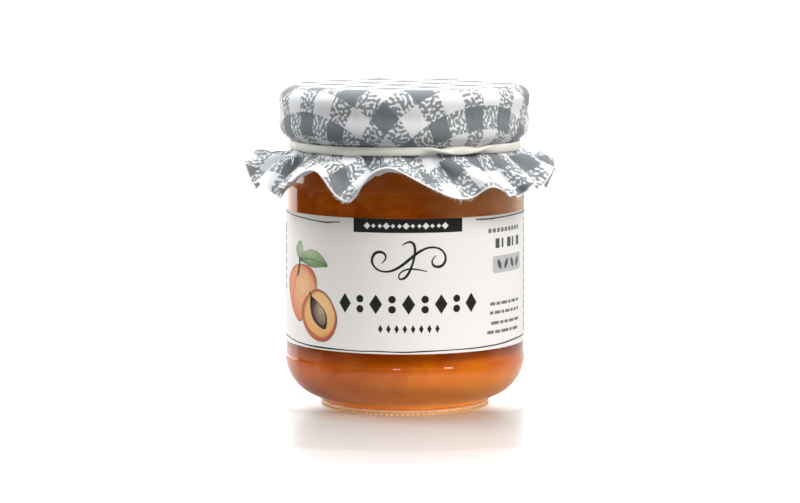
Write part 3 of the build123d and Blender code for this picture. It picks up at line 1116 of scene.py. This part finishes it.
bpy.ops.object.select_all(action="DESELECT")
bpy.ops.curve.primitive_bezier_circle_add()
band = new_name(bpy.context.object, "rubber_band_loop")
band.data.splines.clear()
line = band.data.splines.new("POLY")
band_points = 240
line.points.add(band_points - 1)
for step, point in enumerate(line.points):
    azimuth = 360 * step / band_points
    tilt, on_edge = math.pi / 2, 0.0
    for middle, half_turn in turn_overs:
        away = (azimuth - middle + 180) % 360 - 180
        share = min(1.0, max(0.0, 0.5 + away / (2 * abs(half_turn))))
        share = share * share * (3 - 2 * share)
        tilt += math.copysign(math.pi, half_turn) * share if azimuth < 180 else 0
        on_edge = max(on_edge, math.sin(math.pi * share))
    radius = band_middle + 0.35 * mm * on_edge
    lift = 0.15 * mm * math.sin(math.radians(azimuth) * 3 + 1)
    turn = math.radians(azimuth)
    point.co = (radius * math.sin(turn), -radius * math.cos(turn), band_height + lift, 1)
    point.tilt = tilt
line.use_cyclic_u = True
band.data.dimensions = "3D"
band.data.twist_mode = "Z_UP"
band.data.bevel_mode = "OBJECT"
band.data.bevel_object = section
only(band)
bpy.ops.object.convert(target="MESH")
band = bpy.context.object
bpy.data.objects.remove(section)
bpy.ops.object.mode_set(mode="EDIT")
bpy.ops.mesh.select_all(action="SELECT")
bpy.ops.mesh.remove_doubles(threshold=1e-7)
bpy.ops.mesh.normals_make_consistent(inside=False)
object_mode()
bpy.ops.object.shade_smooth_by_angle(angle=math.radians(50))

material, tree, shader = new_material("cream_rubber")
place = add_node(tree, "TexCoord").outputs["Object"]
dusty = noise(tree, place, 900, 3.0, 0.6)
soft = noise(tree, place, 120, 2.0, 0.5)
tree.links.new(blend(tree, soft, colour(226, 224, 213), colour(242, 240, 231)),
               shader.inputs["Base Color"])
tree.links.new(steps(tree, dusty, 0.3, 0.7, 0.42, 0.6), shader.inputs["Roughness"])
shader.inputs["Subsurface Weight"].default_value = 0.15
shader.inputs["Subsurface Radius"].default_value = (1.0, 0.9, 0.6)
shader.inputs["Subsurface Scale"].default_value = 0.6 * mm
bumps(tree, shader, dusty, 0.06 * mm, 0.4)
band.data.materials.append(material)
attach(band, "root")
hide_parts("rubber_band")
print("band", len(band.data.polygons), "faces")

# %% [markdown]
# The cloth is a round of checked cotton, cut flat, laid over the lid and tied under it.  Below
# the band its edge is far longer than the neck is round, so it stands out in folds.  The
# shape comes from the flat cloth itself: a grid of points that keep their flat distances from
# each other, while the lid, the neck and the jar's shoulder push them out.  The cloth
# simulation built into the program keeps cloth at least a millimetre away from what it
# touches, which is too coarse at this size, so the points are moved here, in millimetres.

# %% Flat cloth and where it is held
cloth_stand_off, cloth_gap = 0.7, 0.1
side_radius = lid_radius / mm + cloth_stand_off
off_centre = -0.25
top_height = cloth_top / mm
corner_round = 4.0
held_radius = band_outer / mm - band_thick / mm - cloth_gap
held_top, held_low = band_top / mm, band_bottom / mm
lid_edge = lid_bottom / mm
shoulder_height, shoulder_radius = body_top / mm + 0.7, body_radius / mm + 0.35
columns = 300
grid_step = 0.9
skirt = 13.9

to_corner = side_radius - corner_round
to_side = to_corner + corner_round * math.pi / 2
to_low = to_side + (top_height - corner_round - lid_edge)
share = np.linspace(0, 1, 60)
draw_radius = held_radius + (side_radius - held_radius) * np.sqrt(1 - share**2)
draw_height = lid_edge + (held_top - lid_edge) * share
draw_length = np.concatenate([[0], np.cumsum(np.hypot(np.diff(draw_radius), np.diff(draw_height)))])
to_band = to_low + draw_length[-1]
to_under = to_band + held_top - held_low
to_hem = to_under + skirt
first_ring = to_corner - 3.0
ring_count = int(round((to_hem - first_ring) / grid_step)) + 1
flat_radius = np.linspace(first_ring, to_hem, ring_count)
azimuth = np.arange(columns) * 2 * math.pi / columns
print(f"flat cloth {2 * to_hem:.1f} mm across, {ring_count} rings of {columns} points")

# %% [markdown]
# Where the hem hangs.  Each entry is a place along the hem, going round from the left side:
# degrees right of the front, distance from the axis, and height, in millimetres.  Tips of
# hanging folds alternate with the crests between them.  In two places the cloth is pulled
# sideways by a few millimetres, so that its wrong side turns towards the front.

# %% Folds
hem_places = [
    (-86, 44.2, 66.3), (-77, 42.4, 59.4), (-69, 42.5, 61.5), (-61, 39.3, 59.0), (-46, 42.6, 63.5),
    (-32.5, 43.6, 68.5), (-25.3, 36.4, 56.4), (-10.5, 43.0, 68.2), (-5, 43.2, 68.8),
    (10, 39.8, 62.8), (20, 38.2, 59.8), (29, 38.3, 59.2), (31, 39.6, 62.6), (32, 42.3, 64.3),
    (38, 42.6, 61.2), (45, 41.0, 59.3), (50, 41.3, 59.7), (55, 43.2, 61.8), (58, 42.3, 60.3),
    (61, 44.3, 63.5), (68, 42.3, 66.8), (76, 39.3, 59.6), (88, 41.0, 64.8), (101, 40.0, 69.8),
    (114, 39.5, 60.0), (125, 43.0, 68.0), (137, 39.0, 59.0), (148, 43.5, 67.4), (156, 43.8, 66.6),
    (172, 38.0, 59.0), (188, 44.0, 67.0), (205, 39.5, 59.0), (218, 43.5, 67.4), (228, 43.8, 66.4),
    (243, 40.0, 59.5), (259, 41.0, 69.4),
]
hem_pulls = [(-42, 40, 9.0), (37, 16, -6.0)]


def hem_line():
    """Azimuth, distance and height of the hem at each column, evenly spaced along the cloth."""
    closed = hem_places + [(hem_places[0][0] + 360, *hem_places[0][1:])]
    keys = np.array(closed, dtype=float)
    along = np.linspace(0, len(keys) - 1, 40 * (len(keys) - 1) + 1)
    turn, radius, height = (np.interp(along, np.arange(len(keys)), keys[:, part]) for part in range(3))
    angle = np.radians(turn)
    place = np.stack([radius * np.sin(angle), -radius * np.cos(angle), height], axis=-1)
    length = np.concatenate([[0], np.cumsum(np.linalg.norm(np.diff(place, axis=0), axis=-1))])
    total = length[-1]
    pulled = np.zeros(columns)
    for middle, half_width, distance in hem_pulls:
        away = (np.degrees(azimuth) - middle + 180) % 360 - 180
        pulled += distance * np.cos(np.pi / 2 * np.clip(away / half_width, -1, 1)) ** 2
    best = None
    for start in range(columns):
        wanted = (start + np.arange(columns)) * total / columns - pulled
        lap = np.floor(wanted / total)
        at = wanted - lap * total
        found = np.interp(at, length, turn) + 360 * lap
        twist = found - np.degrees(azimuth)
        off = np.mean(twist) - 360 * round(np.mean(twist) / 360)
        if best is None or abs(off) < best[0]:
            best = (abs(off), found - 360 * round(np.mean(twist) / 360), np.interp(at, length, radius),
                    np.interp(at, length, height))

    def soften(values):
        return (np.roll(values, -1) + 2 * values + np.roll(values, 1)) / 4

    twist = soften(best[1] - np.degrees(azimuth))
    print(f"hem {total:.0f} mm long as it hangs, {2 * math.pi * to_hem:.0f} mm flat")
    print(f"twist up to {abs(twist).max():.0f} degrees")
    return np.radians(np.degrees(azimuth) + twist), soften(best[2]), soften(best[3])


def start_shape(pleat_seed=3):
    """The cloth before it relaxes: over the lid, drawn in to the band, then out to the hem."""
    hem_turn, hem_radius, hem_height = hem_line()
    radius = np.zeros((ring_count, columns))
    height = np.zeros((ring_count, columns))
    turn = np.tile(azimuth, (ring_count, 1))
    for ring, along in enumerate(flat_radius):
        if along < to_corner:
            r, z = along, top_height
        elif along < to_side:
            bend = (along - to_corner) / corner_round
            r = side_radius - corner_round + corner_round * math.sin(bend)
            z = top_height - corner_round + corner_round * math.cos(bend)
        elif along < to_low:
            r, z = side_radius, top_height - corner_round - (along - to_side)
        elif along < to_band:
            r = np.interp(along - to_low, draw_length, draw_radius)
            z = np.interp(along - to_low, draw_length, draw_height)
        elif along < to_under:
            r, z = held_radius, held_top - (along - to_band)
        else:
            out = (along - to_under) / skirt
            mid_radius = held_radius + 0.5 * (hem_radius - held_radius) + 0.9
            mid_height = held_low + 0.5 * (hem_height - held_low) + 0.4
            r = (1 - out) ** 2 * held_radius + 2 * out * (1 - out) * mid_radius + out**2 * hem_radius
            z = (1 - out) ** 2 * held_low + 2 * out * (1 - out) * mid_height + out**2 * hem_height
            turn[ring] = azimuth + out * (hem_turn - azimuth)
        radius[ring], height[ring] = r, z
    chance = np.random.default_rng(pleat_seed)
    pleats = np.zeros(columns)
    for wave in range(14, 40):
        pleats += chance.normal() * np.cos(wave * azimuth + chance.uniform(0,
                                                                           2 * math.pi)) / math.sqrt(26)
    above = np.clip((flat_radius - to_side) / (to_band - to_side), 0, 1) * (flat_radius < to_band)
    below = np.clip((flat_radius - to_under) / 3.0, 0, 1) * np.clip((to_hem - flat_radius) / 8.0,
                                                                    0.15, 1)
    radius += (0.45 * above + 0.9 * below * (flat_radius >= to_under))[:, None] * pleats[None, :]
    return np.stack([radius * np.sin(turn), -radius * np.cos(turn), height], axis=-1)


# %% [markdown]
# Threads hardly stretch, but a woven cloth can shear, and it folds easily.  In each round,
# neighbours that are too far apart or too close are moved towards their distance, points two,
# four and eight apart are only kept from coming too close, which is how cloth resists sharp
# folds, and whatever went into the jar or lid is pushed out.

# %% Relax the cloth


def ring_lengths(points):
    """Length of each ring of the cloth."""
    return np.sqrt(((np.roll(points, -1, axis=1) - points) ** 2).sum(-1)).sum(1)


def keep_distance(points, free, first, second, rest, strength, only_push):
    """Move pairs of points towards their rest distance, each by its share."""
    gap = points[second] - points[first]
    length = np.sqrt((gap * gap).sum(-1)) + 1e-9
    error = length - rest
    if only_push:
        error = np.minimum(error, 0)
    weight_a, weight_b = free[first], free[second]
    move = (strength * error / np.maximum(weight_a + weight_b, 1e-9) / length)[..., None] * gap
    points[first] += weight_a[..., None] * move
    points[second] -= weight_b[..., None] * move


def along_rings(points, free, spacing, apart, strength, only_push=False):
    """Distances between columns, in two halves so that no point is moved twice at once."""
    column = np.arange(columns)
    rest = (spacing * apart * (0.97 if apart > 1 else 1.0))[:, None]
    rings = np.arange(ring_count)[:, None]
    for half in range(2):
        chosen = column[((column // apart) % 2) == half]
        keep_distance(points, free, (rings, chosen[None, :]),
                      (rings, (chosen[None, :] + apart) % columns),
                      rest, strength, only_push)


def down_cloth(points, free, apart, strength, only_push=False):
    """Distances between rings."""
    ring = np.arange(ring_count - apart)
    step = flat_radius[1] - flat_radius[0]
    for half in range(2):
        chosen = ring[((ring // apart) % 2) == half]
        keep_distance(points, free, (chosen,), (chosen + apart,), step * apart, strength, only_push)


def across(points, free, spacing, slant, strength):
    """Distances along one diagonal of the grid's squares."""
    ring = np.arange(ring_count - 1)
    column = np.arange(columns)[None, :]
    step = flat_radius[1] - flat_radius[0]
    rest = np.hypot(step, (spacing[:-1] + spacing[1:]) / 2)[:, None]
    for half in range(2):
        chosen = ring[ring % 2 == half]
        here = (chosen[:, None], column)
        there = (chosen[:, None] + 1, (column + slant) % columns)
        keep_distance(points, free, here, there, rest[chosen], strength, False)


def push_out(points, free):
    """Keep the cloth outside the lid, neck and shoulder, and taut between the lid and the band."""
    height = points[..., 2]
    middle = off_centre * np.clip((height - held_top) / (lid_edge - held_top), 0, 1)
    radius = np.hypot(points[..., 0] - middle, points[..., 1])
    drawn_in = np.clip((lid_edge - height) / (lid_edge - held_top), 0, 1)
    taut = held_radius + (side_radius - held_radius) * np.sqrt(1 - drawn_in**2)
    least = taut - 0.25
    over = np.clip((height - (top_height - corner_round)) / corner_round, 0, 1)
    least = np.where(height > top_height - corner_round,
                     side_radius - corner_round + corner_round * np.sqrt(np.clip(1 - over**2, 0,
                                                                                 1)), least)
    least = np.where(height > top_height, 0, least)
    least = np.where(height < shoulder_height, shoulder_radius, least)
    push = np.where((radius < least) & (free > 0), least / np.maximum(radius, 1e-6), 1.0)
    push = np.where((flat_radius > to_corner + 0.5)[:, None], push, 1.0)
    tied = ((flat_radius > to_side) & (flat_radius < to_band))[:, None] & (radius > taut + 0.2)
    push = np.where(tied & (free > 0), (taut + 0.2) / np.maximum(radius, 1e-6), push)
    points[..., 0] = middle + (points[..., 0] - middle) * push
    points[..., 1] *= push
    sunk = (height < top_height) & (flat_radius < to_corner)[:, None]
    points[..., 2] = np.where(sunk, top_height, height)


def relax(points, rounds):
    """Let the cloth settle for a number of rounds."""
    held = (flat_radius < to_corner - 1.0) | ((flat_radius >= to_band) & (flat_radius <= to_under))
    free = np.where(held, 0.0, 1.0)[:, None] * np.ones((1, columns))
    spacing = np.minimum(2 * math.pi * flat_radius, ring_lengths(points) * 1.01) / columns
    hem_goal = points[-4:].copy()
    speed = np.zeros_like(points)
    for count in range(rounds):
        before = points.copy()
        speed *= 0.93
        speed[..., 2] -= 0.0006 * free
        points += speed * free[..., None]
        along_rings(points, free, spacing, 1, 0.9)
        down_cloth(points, free, 1, 1.0)
        across(points, free, spacing, 1, 0.12)
        across(points, free, spacing, -1, 0.12)
        for apart, strength in ((2, 0.2), (4, 0.06), (8, 0.015)):
            along_rings(points, free, spacing, apart, strength, True)
        for apart, strength in ((2, 0.3), (4, 0.2)):
            down_cloth(points, free, apart, strength, True)
        points[-4:] += 0.03 * (hem_goal - points[-4:])
        push_out(points, free)
        speed = points - before
        length = np.sqrt((speed * speed).sum(-1))
        speed *= np.minimum(1, 0.25 / np.maximum(length, 1e-9))[..., None]
    return points


draped = relax(start_shape(), 500)
print("ring length against flat:",
      [round(float(v), 2) for v in (ring_lengths(draped) / (2 * math.pi * flat_radius))[::8]])

# %% [markdown]
# From points to a piece. The relaxed points are the outer face. Rings are added over the top
# of the lid to the middle, a second face is set a thread's thickness inside, and a narrow
# strip closes the hem.

# %% Cloth mesh
cloth_thick = 0.24
top_rings = np.linspace(0, first_ring, 16)[1:-1]


def flat_place_of(along):
    """Flat x and y of a ring at this distance from the cloth's middle."""
    return np.stack([along * np.sin(azimuth), -along * np.cos(azimuth)], axis=-1)


level_height = np.full((columns, 1), top_height)
outer = [np.concatenate([flat_place_of(along), level_height], axis=1) for along in top_rings]
outer = np.concatenate([np.array(outer), draped])
ring_radius = np.concatenate([top_rings, flat_radius])
down = np.gradient(outer, axis=0)
round_way = np.roll(outer, -1, axis=1) - np.roll(outer, 1, axis=1)
normal = np.cross(round_way, down)
normal /= np.linalg.norm(normal, axis=-1, keepdims=True)
if normal[0, 0, 2] < 0:
    normal = -normal
inner = outer - cloth_thick * normal

rings = len(outer)
points = [(0, 0, top_height)] + [tuple(p) for p in outer.reshape(-1, 3)]
points += [(0, 0, top_height - cloth_thick)] + [tuple(p) for p in inner.reshape(-1, 3)]
layer = rings * columns + 1


def at(face, ring, column):
    """Number of a point on a face (0 outer, 1 inner)."""
    return face * layer + 1 + ring * columns + column % columns


faces, face_material = [], []
for face in range(2):
    for column in range(columns):
        faces.append((face * layer, at(face, 0, column), at(face, 0, column + 1)))
        face_material.append(face)
    for ring in range(rings - 1):
        for column in range(columns):
            faces.append((at(face, ring, column), at(face, ring + 1, column),
                          at(face, ring + 1, column + 1), at(face, ring, column + 1)))
            face_material.append(face)
for column in range(columns):
    faces.append((at(0, rings - 1, column), at(1, rings - 1, column),
                  at(1, rings - 1, column + 1), at(0, rings - 1, column + 1)))
    face_material.append(0)
mesh = bpy.data.meshes.new("cloth_round")
mesh.from_pydata([tuple(v * mm for v in p) for p in points], [], faces)
cloth = bpy.data.objects.new("cloth_round", mesh)
bpy.context.scene.collection.objects.link(cloth)
flat_of_point = np.zeros((len(points), 2))
flat_of_point[1:layer] = np.concatenate([flat_place_of(along) for along in ring_radius])
flat_of_point[layer + 1:] = flat_of_point[1:layer]
mesh.polygons.foreach_set("material_index", face_material)
corner_index = np.empty(len(mesh.loops), dtype=np.int32)
mesh.loops.foreach_get("vertex_index", corner_index)
flat_corners = flat_of_point[corner_index] / (2 * to_hem) + 0.5
mesh.uv_layers.new(name="flat").data.foreach_set("uv", flat_corners.ravel())
pick(cloth, lambda co: True)
bpy.ops.mesh.normals_make_consistent(inside=False)
object_mode()
bpy.ops.object.shade_smooth_by_angle(angle=math.radians(60))
print("cloth", len(mesh.polygons), "faces, flat size", round(2 * to_hem, 1), "mm")

# %% [markdown]
# The cotton: dark grey and white bands cross at right angles, woven, so that where a dark
# band meets a white one the yarns show as broken dark marks.  The bands are found from the
# flat place of each point, turned by some 40 degrees, because the corner of a check points at
# the viewer.  The wrong side is paler, since the colour barely reaches it, and the cut edge
# is white.

# %% Checked cotton
check_size = 6.4
check_turn = 38.0
twill_step = 0.75


def cotton(name, dark, light, mark_strength):
    """Checked cotton seen from one side."""
    material, tree, shader = new_material(name)
    flat = add_node(tree, "UVMap", {"uv_map": "flat"}).outputs["UV"]
    centred = add_node(tree, "Mapping", Vector=flat)
    centred.inputs["Location"].default_value = (-to_hem, -to_hem, 0)
    centred.inputs["Scale"].default_value = (2 * to_hem, 2 * to_hem, 1)
    turned = add_node(tree, "Mapping", {"vector_type": "TEXTURE"}, Vector=centred.outputs[0])
    turned.inputs["Location"].default_value = check_origin
    turned.inputs["Rotation"].default_value = (0, 0, math.radians(check_turn))
    wander = add_node(tree, "TexNoise", Vector=turned.outputs[0], Scale=1.3, Detail=2.0)
    shake = add_node(tree, "VectorMath", {"operation": "SCALE"}, Scale=0.35)
    connect(tree, wander.outputs["Color"], shake.inputs[0])
    moved = add_node(tree, "VectorMath", {"operation": "ADD"})
    connect(tree, turned.outputs[0], moved.inputs[0])
    connect(tree, shake.outputs[0], moved.inputs[1])
    axes = add_node(tree, "SeparateXYZ", Vector=moved.outputs[0])

    def stripe(value):
        wave = sums(tree, "PINGPONG", value, check_size)
        return steps(tree, wave, check_size / 2 - 0.12, check_size / 2 + 0.12, 1.0, 0.0)

    first, second = stripe(axes.outputs["X"]), stripe(axes.outputs["Y"])
    both = sums(tree, "MULTIPLY", first, second)
    either = sums(tree, "MAXIMUM", first, second)
    one = sums(tree, "SUBTRACT", either, both)

    breaks = noise(tree, turned.outputs[0], 0.9, 1.0, 0.5)

    def marks(lean):
        worms = add_node(tree, "TexGabor", {"gabor_type": "2D"}, Vector=moved.outputs[0], Scale=0.35,
                         Frequency=2.0, Anisotropy=0.3)
        worms.inputs["Orientation"].default_value = math.radians(lean)
        value = sums(tree, "ADD", worms.outputs["Value"], sums(tree, "MULTIPLY", breaks, 0.9))
        return steps(tree, value, 0.86, 0.95)

    broken = add_node(tree, "Mix", {"data_type": "FLOAT"})
    connect(tree, first, broken.inputs[0])
    connect(tree, marks(20), broken.inputs[2])
    connect(tree, marks(70), broken.inputs[3])
    half_tone = sums(tree, "MULTIPLY", sums(tree, "MULTIPLY", one, broken.outputs[0]), mark_strength)
    darkness = sums(tree, "ADD", both, half_tone)
    slanting = sums(tree, "ADD", axes.outputs["X"], axes.outputs["Y"])
    twill = sums(tree, "MULTIPLY", slanting, 2 * math.pi / twill_step)
    weave = sums(tree, "MULTIPLY_ADD", sums(tree, "SINE", twill), 0.12, 0.5)
    fluff = noise(tree, turned.outputs[0], 2.4, 4.0, 0.7)
    yarn = sums(tree, "MULTIPLY", weave, fluff)
    grey = blend(tree, yarn, dark, tuple(min(1, part * 1.9 + 0.04) for part in dark[:3]) + (1,))
    cotton_tone = blend(tree, darkness, light, grey)
    distance = add_node(tree, "VectorMath", {"operation": "LENGTH"})
    connect(tree, centred.outputs[0], distance.inputs[0])
    edge_noise = sums(tree, "MULTIPLY", fluff, 0.9)
    uneven_edge = sums(tree, "ADD", distance.outputs["Value"], edge_noise)
    edge = steps(tree, uneven_edge, to_hem - 0.15, to_hem + 0.25)
    tree.links.new(blend(tree, edge, cotton_tone, (0.86, 0.87, 0.87, 1)), shader.inputs["Base Color"])
    shader.inputs["Roughness"].default_value = 0.85
    shader.inputs["Sheen Weight"].default_value = 0.25
    shader.inputs["Sheen Roughness"].default_value = 0.5
    bumps(tree, shader, sums(tree, "MULTIPLY_ADD", weave, 0.15, fluff), 0.08 * mm, 0.4)
    return material


check_origin = (-1.8, -3.06, 0)
right_dark, right_light = colour(107, 111, 114), (0.80, 0.815, 0.84, 1)
wrong_dark, wrong_light = colour(190, 190, 192), (0.72, 0.72, 0.72, 1)
right_side = cotton("checked_cotton", right_dark, right_light, 0.88)
wrong_side = cotton("checked_cotton_wrong_side", wrong_dark, wrong_light, 0.35)
cloth.data.materials.append(right_side)
cloth.data.materials.append(wrong_side)
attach(cloth, "root")
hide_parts("cloth_cover")
print("cotton on both sides")

# %% [markdown]
# The cloth was cut with scissors and not hemmed, so short ends of yarn stand out all along
# the edge, and a few longer threads have come loose and hang.  Each is a thin bent line that
# starts in the hem.  They are one piece that goes with the cloth.

# %% Frayed threads
bpy.ops.object.select_all(action="DESELECT")
bpy.ops.curve.primitive_bezier_curve_add()
fray = new_name(bpy.context.object, "cloth_fray")
fray.data.splines.clear()
hem, inside_hem = draped[-1], draped[-3]
outward = hem - inside_hem
outward /= np.linalg.norm(outward, axis=-1, keepdims=True)
along_hem = np.roll(hem, -1, axis=0) - hem
along_hem /= np.linalg.norm(along_hem, axis=-1, keepdims=True)
hem_normal = normal[-1]
thread_count = 560
chance = random.Random(11)
hang = hem[:, 2] - np.mean([np.roll(hem[:, 2], shift) for shift in range(-12, 13)], axis=0)
chances = [1.0 + 5.0 * max(0.0, -float(low)) for low in hang]
for count in range(thread_count):
    column = chance.choices(range(columns), weights=chances)[0]
    start = hem[column] - 0.5 * outward[column] - 0.14 * hem_normal[column]
    lean = chance.uniform(-1.3, 1.3)
    length = chance.uniform(0.3, 1.1) * (2.0 if chance.random() < 0.12 else 1.0)
    way = outward[column] + lean * along_hem[column] + chance.uniform(-0.25, 0.25) * hem_normal[column]
    way /= np.linalg.norm(way)
    curl = chance.uniform(-0.5, 0.5) * along_hem[column] + chance.uniform(-0.4,
                                                                          0.4) * hem_normal[column]
    thread = fray.data.splines.new("POLY")
    thread.points.add(3)
    for step, point in enumerate(thread.points):
        reach = (0.5 + length) * step / 3
        place = start + way * reach + curl * reach * reach * 0.3
        point.co = (*(place * mm), 1)
        point.radius = 1.0 - 0.25 * step
loose_threads = [
    [(-66, 34.0, 74.6), (-69, 34.9, 73.6), (-70, 35.2, 72.6), (-66, 34.0, 71.6)],
    [(-61, 33.2, 72.8), (-57, 33.4, 71.6), (-60, 34.4, 70.2), (-55, 36.2, 68.8), (-53, 37.8, 67.6)],
    [(-63, 32.6, 72.2), (-60, 34.0, 70.8), (-57, 36.5, 69.4), (-51, 38.4, 68.6)],
    [(-23, 33.4, 70.6), (-19, 35.0, 70.4), (-16.5, 37.0, 69.0), (-18, 38.2, 68.0)],
]
for line in loose_threads:
    thread = fray.data.splines.new("NURBS")
    thread.points.add(len(line) - 1)
    for point, (turn, r, z) in zip(thread.points, line):
        turn = math.radians(turn)
        point.co = (r * math.sin(turn) * mm, -r * math.cos(turn) * mm, z * mm, 1)
        point.radius = 1.3
    thread.order_u = 3
    thread.use_endpoint_u = True
    thread.resolution_u = 8
fray.data.dimensions = "3D"
fray.data.bevel_depth = 0.08 * mm
fray.data.bevel_resolution = 0
fray.data.use_fill_caps = True
only(fray)
bpy.ops.object.convert(target="MESH")
fray = bpy.context.object
material, tree, shader = new_material("cotton_yarn")
place = add_node(tree, "TexCoord").outputs["Object"]
uneven = noise(tree, place, 700, 2.0, 0.5)
yarn_tone = blend(tree, uneven, (0.72, 0.72, 0.71, 1), (0.88, 0.88, 0.87, 1))
tree.links.new(yarn_tone, shader.inputs["Base Color"])
shader.inputs["Roughness"].default_value = 0.85
bumps(tree, shader, uneven, 0.03 * mm, 0.3)
fray.data.materials.append(material)
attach(fray, "root")
print("frayed threads:", len(fray.data.polygons), "faces")

# %% [markdown]
# Last, the picture keeps its plain colours.

# %% View settings
bpy.context.scene.view_settings.view_transform = "Standard"
